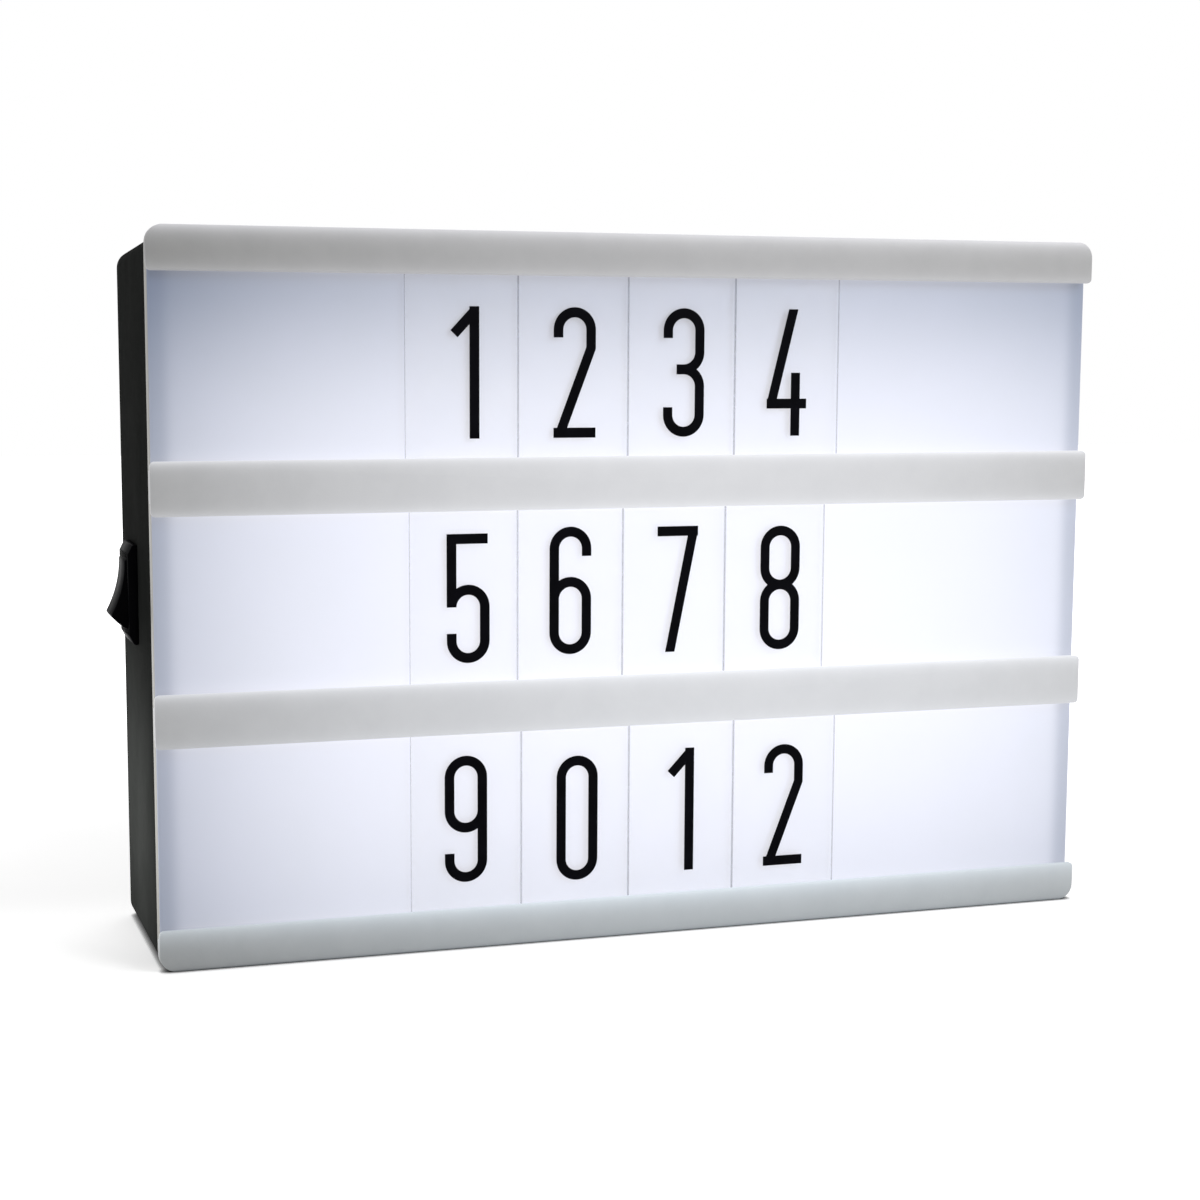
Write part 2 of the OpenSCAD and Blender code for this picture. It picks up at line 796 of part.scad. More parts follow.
module contact_lever() {
    color("#c87f4a") from_front() at_switch() translate([lever_u, 0, 0]) rotate([0, lever_tilt, 0]) {
        block([0, -lever_w / 2, -lever_l / 2], [lever_t, lever_w / 2, lever_l / 2]);
        rotate([90, 0, 0]) cylinder(r = bead_r, h = lever_w, center = true, $fn = smooth);
    }
}

module pivot_terminal() {
    color("#d8c98a") from_front() at_switch() block(
        [blade_end_u, -blade_w / 2, -blade_t / 2],
        [lever_u - bead_r - lever_gap, blade_w / 2, blade_t / 2]);
}

module contact_terminal() {
    drop = (-contact_v - contact_pad_l / 2) * tan(lever_tilt);
    pad_u = lever_u - drop - lever_gap;
    outer = contact_v - blade_t / 2;
    color("#d8c98a") from_front() at_switch() {
        block([blade_end_u, -blade_w / 2, outer], [pad_u, blade_w / 2, outer + blade_t]);
        block([pad_u - blade_t, -lever_w / 2, outer], [pad_u, lever_w / 2, outer + contact_pad_l]);
    }
}

// ---- cells and door

module cell(i, dir) {
    color("#3c4046") from_front() translate([0, cell_axis_d, cell_z(i)]) mirror([dir < 0 ? 1 : 0, 0, 0]) {
        bar_x(cell_dia / 2, cell_flat_x, cell_flat_x + cell_can_l);
        bar_x(button_dia / 2, cell_flat_x + cell_can_l - 0.01, cell_button_x);
    }
}

module cell_lower() {
    cell(0, -1);
}

module cell_middle() {
    cell(1, 1);
}

module cell_upper() {
    cell(2, -1);
}

// Contact plate on the +X end, from cell i to cell j, with a dimple at cell p
module contact_plate(i, j, p) {
    low = cell_z(i) - plate_w / 2;
    high = cell_z(j) + plate_w / 2;
    block([plate_face_x, cell_axis_d - plate_w / 2, low],
        [plate_face_x + plate_t, cell_axis_d + plate_w / 2, high]);
    if (p >= 0) {
        translate([0, cell_axis_d, cell_z(p)]) bar_x(dimple_r, plate_face_x - dimple_l, plate_face_x + 0.01);
    }
}

module solder_tab(i) {
    translate([0, cell_axis_d, cell_z(i)]) block([plate_face_x, -plate_t / 2, -tab_w / 2],
        [plate_face_x + tab_l, plate_t / 2, tab_w / 2]);
}

module contact_plates_right() {
    color("silver") from_front() {
        union() {
            contact_plate(0, 0, -1);
            solder_tab(0);
        }
        contact_plate(1, 2, 1);
    }
}

module contact_plates_left() {
    color("silver") from_front() mirror([1, 0, 0]) {
        contact_plate(0, 1, 0);
        union() {
            contact_plate(2, 2, 2);
            solder_tab(2);
        }
    }
}

// Cone spring from a plate on the +X end to the flat of cell i
module cone_spring(i) {
    half = spring_wire / 2;
    start = plate_face_x - half - 0.02;
    run = spring_l - spring_wire - 0.04;
    steps = spring_turns * 12;
    path = [for (s = [0 : steps]) let (r = spring_base_r + (spring_tip_r - spring_base_r) * s / steps)
        [start - run * s / steps, r * cos(30 * s), r * sin(30 * s)]];
    translate([0, cell_axis_d, cell_z(i)]) tube(path, half, 6);
}

module contact_springs() {
    color("silver") from_front() {
        cone_spring(0);
        mirror([1, 0, 0]) cone_spring(1);
        cone_spring(2);
    }
}

module battery_door() {
    half = opening_half - door_gap;
    low = bay_z - ledge_w + door_gap;
    grooves = 3;
    groove_w = 1;
    groove_deep = 0.4;
    groove_rise = 2.5;
    color("#262827") from_front() difference() {
        union() {
            block([-half, door_d, low], [half, box_d, hinge_z]);
            intersection() {
                translate([0, hinge_d, hinge_z]) bar_x(barrel_r, -half, half);
                block([-half, door_d, hinge_z - over], [half, box_d, hinge_z + barrel_r]);
            }
            translate([0, hinge_d, hinge_z]) {
                bar_x(barrel_r, -barrel_half, barrel_half);
                bar_x(hinge_pin_r, -opening_half - hinge_pin_reach, opening_half + hinge_pin_reach);
            }
            block([-latch_w / 2, door_d - latch_reach, bay_z + cell_play],
                [latch_w / 2, door_d + 0.01, bay_z + cell_play + latch_t]);
        }
        for (i = [0 : grooves - 1]) {
            translate([0, box_d, low + groove_rise + 2 * groove_w * i]) block(
                [-scoop_w / 2, -groove_deep, 0], [scoop_w / 2, over, groove_w]);
        }
    }
}

// ---- light

module reflector_sheet() {
    sheet_in = case_wall + inset_at(sheet_back_d) + sheet_gap;
    base_in = case_wall + sheet_gap;
    color("white") from_front() difference() {
        translate([0, 0, base_in]) slab(sheet_d, sheet_back_d) {
            round_rect(box_w - 2 * sheet_in, case_h - base_in - sheet_in, 1.5, $fn = smooth);
        }
        at_screws() bar_y(pillar_r + pillar_play, sheet_d - over, sheet_back_d + over);
        at_sheet_posts() bar_y(peg_r + hole_play, sheet_d - over, sheet_back_d + over);
        block([-box_w / 2, sheet_d - over, switch_z - notch_half_h],
            [blade_x + notch_room, sheet_back_d + over, switch_z + notch_half_h]);
        translate([wire_hole_x, 0, wire_hole_z]) bar_y(wire_hole_r, sheet_d - over, sheet_back_d + over);
    }
}

module light_board(z) {
    color("#e8e8e2") from_front() block(
        [-board_l / 2, board_d, z - board_w / 2], [board_l / 2, sheet_d, z + board_w / 2]);
}

module light_board_upper() {
    light_board(board_z_high);
}

module light_board_lower() {
    light_board(board_z_low);
}

module lamps(z) {
    first_x = -(lamp_count - 1) * lamp_pitch / 2;
    color("#f7e08a") from_front() for (i = [0 : lamp_count - 1]) {
        translate([first_x + i * lamp_pitch, 0, z]) block(
            [-lamp_l / 2, board_d - lamp_t, -lamp_w / 2], [lamp_l / 2, board_d, lamp_w / 2]);
    }
}

module lamps_upper() {
    lamps(board_z_high);
}

module lamps_lower() {
    lamps(board_z_low);
}

module resistors() {
    color("#202020") from_front() for (z = [board_z_low, board_z_high]) {
        translate([-board_l / 2 + resistor_in, board_d - resistor_t, z]) block(
            [-resistor_l / 2, 0, -resistor_w / 2], [resistor_l / 2, resistor_t, resistor_w / 2]);
    }
}

// ---- inlet and screws

module power_inlet() {
    half = inlet_body_w / 2;
    color("#1a1a1a") from_front() translate([inlet_x, 0, inlet_z]) difference() {
        union() {
            block([-half, wall_in_d - inlet_body_d, -half], [half, wall_in_d, half]);
            bar_y(inlet_nose_r, wall_in_d - over, box_d);
        }
        bar_y(socket_r, box_d - socket_deep, box_d + over);
        bar_y(centre_pin_r + 0.02, wall_in_d - inlet_body_d - over, box_d);
    }
}

module inlet_pin() {
    color("#d9b45a") from_front() translate([inlet_x, 0, inlet_z]) {
        bar_y(centre_pin_r, wall_in_d - inlet_body_d, box_d - 1);
    }
}

module case_screws() {
    head_d = post_end_d + pillar_floor;
    color("silver") from_front() at_screws() difference() {
        union() {
            bar_y(screw_r, head_d - screw_l, head_d + 0.01);
            bar_y(screw_head_r, head_d, head_d + head_t);
        }
        for (turn = [0, 90]) {
            rotate([0, turn, 0]) block([-recess_w / 2, head_d + head_t - recess_deep, -screw_head_r * 0.6],
                [recess_w / 2, head_d + head_t + over, screw_head_r * 0.6]);
        }
    }
}

// ---- wires: each point is a few millimetres off the pieces that the wire passes

module wire_cells_to_switch() {
    color("red") from_front() wire([
        [plus_x, cell_axis_d, plus_z], [plus_x, cell_axis_d, plus_z + 3],
        [plus_x - 6, lane_d + 1, bay_over + 1], [plus_x - 16, lane_d, switch_z - 7],
        [blade_face + 19, lane_d - 2, switch_z - 3], [blade_face + 10, sheet_back_d + 3, switch_z],
        [blade_face + 7, sheet_d - 1, switch_z], [blade_face + 3, blade_d, switch_z],
        [blade_face, blade_d, switch_z]]);
}

module wire_switch_to_board() {
    v = switch_z + contact_v;
    x = -board_l / 2 + 2;
    color("red") from_front() wire([
        [blade_face, blade_d, v], [blade_face + 3, blade_d, v], [x + 4, board_face - 5, v - 6],
        [x + 1, board_face - 4.5, v - 11], [x, board_face - 3, board_z_low + 1],
        [x, board_face, board_z_low + 1]]);
}

// Wire from the lower to the upper board, bowed sideways between them
module board_link(x, bow) {
    third = rail_pitch / 4;
    wire([[x, board_face, board_z_low + 2], [x, board_face - 2.5, board_z_low + 2.5],
        [x + 0.8 * bow, board_face - 2, mid_z - third], [x + bow, board_face - 2.5, mid_z],
        [x + 0.8 * bow, board_face - 2, mid_z + third],
        [x, board_face - 2.5, board_z_high - 2.5], [x, board_face, board_z_high - 2]]);
}

module wire_board_link_left() {
    color("red") from_front() board_link(link_left_x, 5);
}

module wire_board_link_right() {
    color("#202020") from_front() board_link(link_right_x, 3);
}

module wire_cells_to_board() {
    x = board_l / 2 - 2;
    color("#202020") from_front() wire([
        [minus_x, cell_axis_d, minus_z], [minus_x, cell_axis_d, minus_z + 3],
        [minus_x + 2.5, lane_d + 1, minus_z + 12], [minus_x + 11, lane_d, wire_hole_z - 16],
        [minus_x + 29, lane_d - 1, wire_hole_z - 5], [wire_hole_x - 10, lane_d - 2, wire_hole_z],
        [wire_hole_x - 1, sheet_back_d + 3, wire_hole_z], [wire_hole_x, sheet_d, wire_hole_z],
        [wire_hole_x - 2, sheet_d - 4, wire_hole_z - 2],
        [x, board_face - 3, board_z_low + 1], [x, board_face, board_z_low]]);
}

module wire_inlet_plus() {
    color("red") from_front() wire([
        [inlet_x, inlet_face_d, inlet_z], [inlet_x, inlet_face_d - 3, inlet_z],
        [inlet_x - 2, inlet_face_d - 2, inlet_z + 12], [inlet_x - 8, inlet_face_d, bay_over - 9],
        [bay_side + 7, cell_axis_d, bay_over + 2.5], [bay_side / 3, cell_axis_d + 1, bay_over + 4.5],
        [-bay_side / 2, cell_axis_d + 1, bay_over + 4.5], [-bay_side, cell_axis_d + 1, bay_over + 2.5],
        [plus_x + 2.5, cell_axis_d, plus_z + 3], [plus_x + 2.5, cell_axis_d, plus_z]]);
}

module wire_inlet_minus() {
    x = inlet_x - 3.5;
    z = cell_z(0) - tab_edge;
    color("#202020") from_front() wire([
        [x, inlet_face_d, inlet_z - 3], [x, inlet_face_d - 3, inlet_z - 3.5],
        [x - 8.5, inlet_face_d - 2, bay_z + 2], [minus_x + 7, lane_d - 2, bay_z - 0.5],
        [minus_x, cell_axis_d, z - 3], [minus_x, cell_axis_d, z]]);
}

rear_case();
front_shell();
rail_top();
rail_upper();
rail_lower();
rail_bottom();
top_tile(0);  // tile_top_1
top_tile(1);  // tile_top_2
top_tile(2);  // tile_top_3
top_tile(3);  // tile_top_4
middle_tile(0);  // tile_middle_1
middle_tile(1);  // tile_middle_2
middle_tile(2);  // tile_middle_3
middle_tile(3);  // tile_middle_4
bottom_tile(0);  // tile_bottom_1
bottom_tile(1);  // tile_bottom_2
bottom_tile(2);  // tile_bottom_3
bottom_tile(3);  // tile_bottom_4
switch_housing();
switch_rocker();
switch_plunger();
plunger_spring();
contact_lever();
pivot_terminal();
contact_terminal();
battery_door();
cell_lower();
cell_middle();
cell_upper();
contact_plates_left();
contact_plates_right();
contact_springs();
reflector_sheet();
light_board_upper();
light_board_lower();
lamps_upper();
lamps_lower();
resistors();
power_inlet();
inlet_pin();
case_screws();
wire_cells_to_switch();
wire_switch_to_board();
wire_board_link_left();
wire_board_link_right();
wire_cells_to_board();
wire_inlet_plus();
wire_inlet_minus();
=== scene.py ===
import json
import math

import bpy
from mathutils import Matrix, Vector


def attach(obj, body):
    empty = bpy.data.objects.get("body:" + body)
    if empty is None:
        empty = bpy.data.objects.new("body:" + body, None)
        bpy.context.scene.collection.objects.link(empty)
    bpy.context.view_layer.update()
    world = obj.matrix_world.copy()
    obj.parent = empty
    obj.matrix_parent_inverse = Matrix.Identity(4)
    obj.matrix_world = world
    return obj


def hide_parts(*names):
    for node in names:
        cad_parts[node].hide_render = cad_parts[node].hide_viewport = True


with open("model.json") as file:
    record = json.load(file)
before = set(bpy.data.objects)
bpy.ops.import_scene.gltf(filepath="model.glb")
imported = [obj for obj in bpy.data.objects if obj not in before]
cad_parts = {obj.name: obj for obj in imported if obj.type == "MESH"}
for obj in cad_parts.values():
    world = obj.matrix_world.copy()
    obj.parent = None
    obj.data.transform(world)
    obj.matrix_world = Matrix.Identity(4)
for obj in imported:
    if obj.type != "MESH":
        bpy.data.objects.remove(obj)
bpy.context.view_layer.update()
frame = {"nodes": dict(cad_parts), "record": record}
nodes = frame["nodes"]
rows = ("top", "middle", "bottom")
tilePlaces = (1, 2, 3, 4)  # in a row, from the left
mm = 0.001
perMetre = 1000  # millimetres
frontToMiddle = 27  # mm from the rails' front faces back to the origin
print("frame loaded:", len(nodes), "nodes")


def hexColour(text):  # sRGB hex to linear RGBA
    values = [int(text[i:i + 2], 16) / 255 for i in (1, 3, 5)]
    linear = [v / 12.92 if v <= 0.04045 else ((v + 0.055) / 1.055) ** 2.4 for v in values]
    return (*linear, 1.0)


# finishes: helpers for the materials


def shaderOf(material):
    return material.node_tree.nodes["Principled BSDF"]


def feed(owner, socket, term):  # a value, a socket, or a node, whose first output is meant
    if isinstance(term, bpy.types.Node):
        term = term.outputs[0]
    if isinstance(term, bpy.types.NodeSocket):
        owner.node_tree.links.new(term, socket)
    else:
        socket.default_value = term


# the kind may end with its operation; terms and named fill its inputs
def addNode(owner, kind, *terms, settings=None, inputs=None, **named):
    kind, _, operation = kind.partition(" ")
    node = owner.node_tree.nodes.new("ShaderNode" + kind)
    if operation:
        node.operation = operation
    for name, value in (settings or {}).items():
        setattr(node, name, value)
    for socket, term in {**dict(enumerate(terms)), **(inputs or {})}.items():
        feed(owner, node.inputs[socket], term)
    for name, term in named.items():
        feed(owner, node.inputs[name.replace("_", " ")], term)
    return node


def setShader(material, **sockets):
    for name, term in sockets.items():
        feed(material, shaderOf(material).inputs[name.replace("_", " ")], term)


def newMaterial(name, **sockets):  # a Principled material with these on its own sockets
    material = bpy.data.materials.new(name)
    material.use_nodes = True
    setShader(material, **sockets)
    return material


patchFacts = {
    "clouds": (0.35, 0.65), "scuffs": (0.3, 0.7),  # the noise values that give the two ends
    "shineGrains": 5,  # a moulding's shine changes over this many grains
    "metalCloud": 2.5,  # mm
}


def patches(material, across, detail=2.0, stretch=(1, 1, 1)):  # soft patches, across is in mm
    place = addNode(material, "TexCoord").outputs["Object"]
    scale = [perMetre / across * s for s in stretch]
    coords = addNode(material, "Mapping", Vector=place, Scale=scale)
    return addNode(material, "TexNoise", Vector=coords, Scale=1.0, Detail=detail)


def tones(material, pattern, dark, light, spread="scuffs"):  # the pattern in two shades
    ramp = addNode(material, "ValToRGB", pattern)
    stops = zip(ramp.color_ramp.elements, patchFacts[spread], (dark, light))
    for element, position, colour in stops:
        element.position = position
        element.color = hexColour(colour)
    return ramp


def cloudyColour(material, dark, light, across, detail=3.0):
    clouds = tones(material, patches(material, across, detail), dark, light, "clouds")
    setShader(material, Base_Color=clouds)


def giveGrain(material, pattern, rough, depth=0, shine=None):  # relief, depth in mm, and shine
    if depth:
        relief = addNode(material, "Bump", Height=pattern, Strength=1.0, Distance=depth * mm)
        setShader(material, Normal=relief)
    limits = (*patchFacts["scuffs"], *rough)
    setShader(material, Roughness=addNode(material, "MapRange", shine or pattern, *limits))


def mouldedPlastic(name, dark, light, rough, grain, depth, ior=1.53, cloud=12.0):
    material = newMaterial(name, IOR=ior)
    cloudyColour(material, dark, light, cloud)
    fine = patches(material, grain, 3.0)
    giveGrain(material, fine, rough, depth, patches(material, grain * patchFacts["shineGrains"]))
    return material


def workedMetal(name, dark, light, rough, streak, depth, stretch=(1, 1, 1)):
    material = newMaterial(name, Metallic=1.0)
    cloudyColour(material, dark, light, patchFacts["metalCloud"])
    giveGrain(material, patches(material, streak, stretch=stretch), rough, depth)
    return material


glow = {
    "upper": (111.9, 30.2), "lower": (52.5, 126.8),  # middle and spread of the light bands, mm
    "lowerShare": 8.0,  # times the upper band
    "middleX": 11.0, "reach": 105,  # mm: the brightest place, and from the middle to an end
    "fade": (0.0754, 0.1386),  # light lost at an end, by the square and the fourth power
    "rimAt": 101.62, "rimDrop": 0.41, "rimBlur": 0.70,  # the walls hide light at the ends
    "sideFrom": -24.3, "sideLit": 0.06,  # behind this Y, in mm, the wall is seen from the side
    "tint": (0.724, 0.707, 0.727), "sideTint": (1.1, 1.05, 0.95),
    "strength": 0.2437, "least": 0.8542,  # the dimmest light doesn't show
    "railEdges": (140.5, 103.3, 92.3, 56.7, 45.7, 8.5), "edgeGain": 0.12, "edgeWidth": 1.3,
}


def placeOf(material):  # object place in millimetres
    place = addNode(material, "TexCoord").outputs["Object"]
    axes = addNode(material, "SeparateXYZ", place).outputs
    return [addNode(material, "Math MULTIPLY", axis, perMetre) for axis in axes]


def glowIn(material, *lights):  # light from within the plastic; each light is (strength, tint)
    sums = [0.0, 0.0, 0.0]
    for strength, tint in lights:
        sums = [addNode(material, "Math MULTIPLY_ADD", strength, gain, before)
                for gain, before in zip(tint, sums)]
    colour = addNode(material, "CombineColor", *sums)
    setShader(material, Emission_Color=colour, Emission_Strength=1.0)


def glowOver(material, x, z):  # brightness of the lit front at an object place
    bands = []
    for middle, spread in (glow["upper"], glow["lower"]):
        off = addNode(material, "Math SUBTRACT", z, middle)
        off = addNode(material, "Math DIVIDE", off, spread)
        square = addNode(material, "Math MULTIPLY", off, off)
        square = addNode(material, "Math MULTIPLY", square, -1)
        bands.append(addNode(material, "Math EXPONENT", square))
    lower = addNode(material, "Math MULTIPLY", bands[1], glow["lowerShare"])
    both = addNode(material, "Math ADD", bands[0], lower)
    off = addNode(material, "Math SUBTRACT", x, glow["middleX"])
    off = addNode(material, "Math DIVIDE", off, glow["reach"])
    square = addNode(material, "Math MULTIPLY", off, off)
    fade = addNode(material, "Math MULTIPLY_ADD", square, glow["fade"][1], glow["fade"][0])
    fade = addNode(material, "Math MULTIPLY", square, fade)
    ends = addNode(material, "Math SUBTRACT", 1, fade)
    lit = addNode(material, "Math MULTIPLY", both, ends)
    lit = addNode(material, "Math MULTIPLY_ADD", lit, glow["strength"], -glow["least"])
    lit = addNode(material, "Math MAXIMUM", lit, 0)
    for edge in glow["railEdges"]:  # a rail throws some light back on the panel beside it
        away = addNode(material, "Math SUBTRACT", z, edge)
        away = addNode(material, "Math ABSOLUTE", away)
        away = addNode(material, "Math DIVIDE", away, -glow["edgeWidth"])
        near = addNode(material, "Math EXPONENT", away)
        lit = addNode(material, "Math MULTIPLY_ADD", near, glow["edgeGain"], lit)
    return lit


def rimShade(material, x):  # 1 on the panel, less in front of the shell's walls at its ends
    inward = addNode(material, "Math ABSOLUTE", x)
    inward = addNode(material, "Math SUBTRACT", glow["rimAt"], inward)
    inward = addNode(material, "Math DIVIDE", inward, glow["rimBlur"])
    soft = addNode(material, "Math ADD", addNode(material, "Math EXPONENT", inward), 1)
    shade = addNode(material, "Math DIVIDE", glow["rimDrop"], soft)
    return addNode(material, "Math SUBTRACT", 1, shade)


# opal polystyrene, polished mould: an even milky white with the lamps' light coming through it;
# its base colour is painted shade of that white, a dark bluish grey on the front and a darker warm
# grey on the side walls
opalFacts = {"cloud": 14.0, "front": ("#6f7d96", "#73809a"), "side": ("#63625c", "#696861")}
opalShell = newMaterial("opal polystyrene, polished mould", Roughness=0.38, IOR=1.59)
xMm, yMm, zMm = placeOf(opalShell)
isSide = addNode(opalShell, "Math GREATER_THAN", yMm, glow["sideFrom"])
isFront = addNode(opalShell, "Math SUBTRACT", 1, isSide)
lit = addNode(opalShell, "Math MULTIPLY", glowOver(opalShell, xMm, zMm), rimShade(opalShell, xMm))
lit = addNode(opalShell, "Math MULTIPLY", lit, isFront)
sideLight = addNode(opalShell, "Math MULTIPLY", isSide, glow["sideLit"])
glowIn(opalShell, (lit, glow["tint"]), (sideLight, glow["sideTint"]))
milk = patches(opalShell, opalFacts["cloud"], 3.0)
# the milk's tones in painted shade: a bluish grey copy for the front, a warm grey copy for the
# side walls
frontMilkShaded, sideMilkShaded = (tones(opalShell, milk, *opalFacts[face]) for face in ("front", "side"))
colourMix = {"data_type": "RGBA"}  # such a Mix node takes colours at 6 and 7, gives one at 2
opalMix = addNode(opalShell, "Mix", isSide, settings=colourMix, inputs={6: frontMilkShaded, 7: sideMilkShaded})
setShader(opalShell, Base_Color=opalMix.outputs[2])

# satin white ABS rails: dull, faintly speckled, with a grey base colour that is painted shade of
# the white; their emission is painted light, a little of the panel's light leaking into them and
# painted highlights along their edges
railSkin = {"cloud": 6.0, "speckle": 0.5, "depth": 0.02, "rough": (0.42, 0.56)}  # mm
perRun = 0.01  # the falls and the end's share below are for 100 mm
railFacts = {  # mm; the brightest painted light, where it is, its fall to the ends, and the painted highlights that the edges add
    "top": {
        "low": 140.5, "high": 149.5, "lit": 0.182, "middle": 26.3, "fall": 0.084,
        "upperEdge": 0.343, "endEdge": 0.056, "lowerEdge": 0.146, "edgeWidth": 1.40,
        "tint": (0.98, 0.98, 1.05)},
    "upper": {
        "low": 92.3, "high": 103.3, "lit": 0.456, "middle": 12.9, "fall": 0.210,
        "upperEdge": 0.213, "endEdge": 0.130, "lowerEdge": 0.171, "edgeWidth": 0.96,
        "tint": (0.97, 0.985, 1.05)},
    "lower": {
        "low": 45.7, "high": 56.7, "lit": 0.459, "middle": 21.1, "fall": 0.165,
        "upperEdge": 0.240, "endEdge": 0.041, "lowerEdge": 0.099, "edgeWidth": 1.22,
        "tint": (0.96, 0.985, 1.055)},
    "bottom": {
        "low": 0.0, "high": 8.5, "lit": 0.204, "middle": 39.3, "fall": 0.068,
        "upperEdge": 0.364, "endEdge": -0.083, "lowerEdge": 0.0, "edgeWidth": 2.50,
        "tint": (0.88, 1.0, 1.11)},
}


# painted light on a rail: the leak, brightest off the middle and falling to the ends, plus painted
# highlights along its upper and lower edges that change towards the ends
def railGlow(material, facts):
    xMm, _, zMm = placeOf(material)
    off = addNode(material, "Math SUBTRACT", xMm, facts["middle"])
    off = addNode(material, "Math MULTIPLY", off, perRun)
    square = addNode(material, "Math MULTIPLY", off, off)
    paintedRailLight = addNode(material, "Math MULTIPLY_ADD", square, -facts["fall"], facts["lit"])
    out = addNode(material, "Math MULTIPLY", xMm, perRun)
    square = addNode(material, "Math MULTIPLY", out, out)
    upper = addNode(material, "Math MULTIPLY_ADD", square, facts["endEdge"], facts["upperEdge"])
    fromTop = addNode(material, "Math SUBTRACT", facts["high"], zMm)
    fromBase = addNode(material, "Math SUBTRACT", zMm, facts["low"])
    for distance, gain in ((fromTop, upper), (fromBase, facts["lowerEdge"])):
        near = addNode(material, "Math DIVIDE", distance, -facts["edgeWidth"])
        near = addNode(material, "Math EXPONENT", near)
        paintedRailLight = addNode(material, "Math MULTIPLY_ADD", near, gain, paintedRailLight)
    glowIn(material, (paintedRailLight, facts["tint"]))


railAbs = {}
for railName, facts in railFacts.items():
    material = newMaterial(f"satin white ABS, {railName} rail", IOR=1.53, Specular_IOR_Level=0.35)
    cloudyColour(material, "#8a8a88", "#8f8f8d", railSkin["cloud"])
    speckle = patches(material, railSkin["speckle"])
    giveGrain(material, speckle, railSkin["rough"], railSkin["depth"])
    railGlow(material, facts)
    railAbs[railName] = material

# black ABS, spark-eroded mould: dull black with a fine even grain that scatters nearly all shine
caseAbs = mouldedPlastic("black ABS, spark-eroded mould", "#1e1f1e", "#222322",
                         rough=(0.62, 0.68), grain=0.5, depth=0.025)
setShader(caseAbs, Specular_IOR_Level=0.0005)

# black nylon, polished mould: smooth and slightly glossy
switchNylon = mouldedPlastic("black nylon, polished mould", "#08080a", "#0b0b0d",
                             rough=(0.3, 0.38), grain=1.2, depth=0.003, cloud=4.0)
setShader(switchNylon, Specular_IOR_Level=0.002)

# clear PVC sheet, calendered: nearly unseen, with a soft shine
tileFilm = newMaterial("clear PVC sheet, calendered", IOR=1.53, Alpha=0.06)
cloudyColour(tileFilm, "#f2f4f8", "#ffffff", 8.0)
giveGrain(tileFilm, patches(tileFilm, 6.0), rough=(0.12, 0.2))

# the same sheet where it is die cut: greyish, half-opaque edges whose grey is painted shade, the
# dark line of the clear edges and the seams between tiles
tileEdgeShade = newMaterial("clear PVC sheet, cut edge", IOR=1.53, Alpha=0.46, Specular_IOR_Level=0.2)
cloudyColour(tileEdgeShade, "#70767f", "#a0a5ae", 1.5)
giveGrain(tileEdgeShade, patches(tileEdgeShade, 0.6), rough=(0.35, 0.6))

# black ink, screen printed: dense, flat and slightly satin
printedInk = newMaterial("black ink, screen printed", IOR=1.5, Specular_IOR_Level=0.02)
cloudyColour(printedInk, "#060609", "#0b0b10", 5.0)
giveGrain(printedInk, patches(printedInk, 0.6), rough=(0.4, 0.55), depth=0.004)

# white card reflector: matt, with a faint fibre
reflectorCard = mouldedPlastic("white card, bleached and calendered", "#e6e6e2", "#efefec",
                               rough=(0.75, 0.9), grain=0.8, depth=0.02, ior=1.5)

# white lacquered glass-fibre board: glossy, with a weave just showing
boardLacquer = mouldedPlastic("white solder resist on glass fibre", "#dedfd8", "#e8e9e3",
                              rough=(0.25, 0.4), grain=0.9, depth=0.006, ior=1.5)

# lamp, yellow phosphor under clear resin: an eggy yellow that glows
lampResin = newMaterial("phosphor under clear silicone", Roughness=0.25, IOR=1.43,
                        Emission_Strength=0.9)
cloudyColour(lampResin, "#f0dc8a", "#f6e6a4", 0.8)
lampLight = tones(lampResin, patches(lampResin, 0.8), "#fff2cc", "#fff8e6")
setShader(lampResin, Emission_Color=lampLight)

# resistor, a fired ceramic chip under epoxy: a small dull black block
chipEpoxy = mouldedPlastic("black epoxy chip, fired ceramic", "#161616", "#202020",
                           rough=(0.4, 0.6), grain=0.3, depth=0.01, ior=1.55, cloud=1.0)

# black PBT inlet, fine mould: an even near-black
inletPbt = mouldedPlastic("black PBT, fine mould", "#131313", "#1a1a1a",
                          rough=(0.35, 0.5), grain=0.6, depth=0.01, ior=1.57, cloud=5.0)

# stamped strip: fine lines along the rolling; wound wire and turned screws: bright, faintly worn
rolled = (1, 6, 6)
stampedBrass = workedMetal("brass strip, stamped", "#c69a4e", "#d4ab61",
                           rough=(0.24, 0.38), streak=0.5, depth=0.006, stretch=rolled)
stampedCopper = workedMetal("copper strip, stamped", "#b56f48", "#c57f57",
                            rough=(0.24, 0.38), streak=0.5, depth=0.006, stretch=rolled)
platedSteel = workedMetal("nickel-plated spring steel", "#a9a8a4", "#bdbcb8",
                          rough=(0.2, 0.32), streak=0.6, depth=0.005)
zincSteel = workedMetal("zinc-plated steel screw", "#9a9c9c", "#b0b2b1",
                        rough=(0.3, 0.45), streak=0.4, depth=0.006)

# PVC wire sleeves, extruded: a soft sheen
sleeveFacts = {"rough": (0.35, 0.5), "grain": 0.8, "depth": 0.006, "ior": 1.53, "cloud": 4.0}
wireRed = mouldedPlastic("red PVC sleeve, extruded", "#a31c1c", "#b32424", **sleeveFacts)
wireBlack = mouldedPlastic("black PVC sleeve, extruded", "#171718", "#1f1f20", **sleeveFacts)

cellFacts = {  # mm: to the steel ends, the light band, and the cell's own middle
    "half": 24.0, "band": 13.0, "middle": 2.15,
    "scuff": 3.0, "rough": (0.22, 0.36), "bandMetal": 0.7,
    "sleeve": ("#15181c", "#1e2227"), "copper": ("#a8713d", "#bb8550"),
    "steel": ("#a3a3a0", "#b9b9b6"),
}


